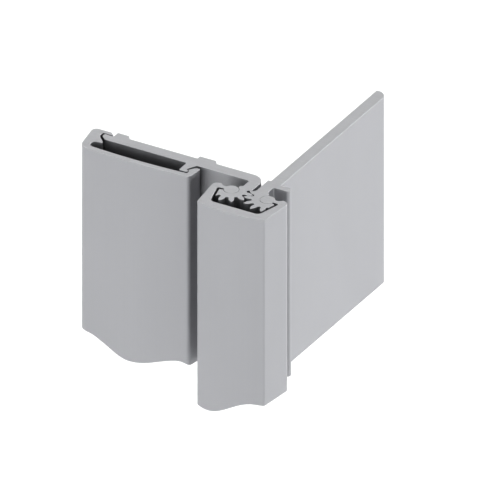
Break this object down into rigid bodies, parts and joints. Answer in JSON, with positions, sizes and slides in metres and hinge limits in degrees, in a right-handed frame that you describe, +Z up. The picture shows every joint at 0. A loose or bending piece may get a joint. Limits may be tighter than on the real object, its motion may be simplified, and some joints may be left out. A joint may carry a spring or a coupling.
{
  "type": "geared continuous hinge",
  "caption": "Short length of geared continuous hinge: a frame leaf and a door leaf with a clip-on cover, their gear teeth meshing inside a C-shaped cap.",
  "frame": {"origin": "middle of the frame leaf's flat mounting face, halfway up the section", "axes": "+X is the outward normal of the frame leaf's mounting face; +Y points into the wall, away from the room, and is the outward normal of the door leaf's rear pads at rest; +Z runs up along the hinge. The rest pose is the door-closed position"},
  "size_m": [0.0583, 0.0688, 0.0561],
  "materials": {
    "leaf_metal": "matte clear anodised",
    "cover_metal": "matte clear anodised",
    "bearing_plastic": "natural acetal",
    "screw_steel": "dull"
  },
  "bodies": {
    "frame_side": {"frame_leaf": "leaf_metal"},
    "cap": {"gear_cap": "cover_metal", "thrust_bearing": "bearing_plastic", "bearing_set_screw": "screw_steel"},
    "door_side": {"door_leaf": "leaf_metal", "leaf_cover": "cover_metal"}
  },
  "joints": [
    {"name": "cap_pivot", "type": "hinge", "parent": "frame_side", "child": "cap", "pos_m": [0.0007, -0.03302, 0], "axis": [0, 0, 1], "range_deg": [0, 90]},
    {"name": "door_pivot", "type": "hinge", "parent": "cap", "child": "door_side", "pos_m": [-0.0093, -0.03302, 0], "axis": [0, 0, 1], "range_deg": [0, 90]}
  ],
  "couplings": [
    {"joint": "door_pivot", "follows": "cap_pivot", "ratio": 1}
  ]
}
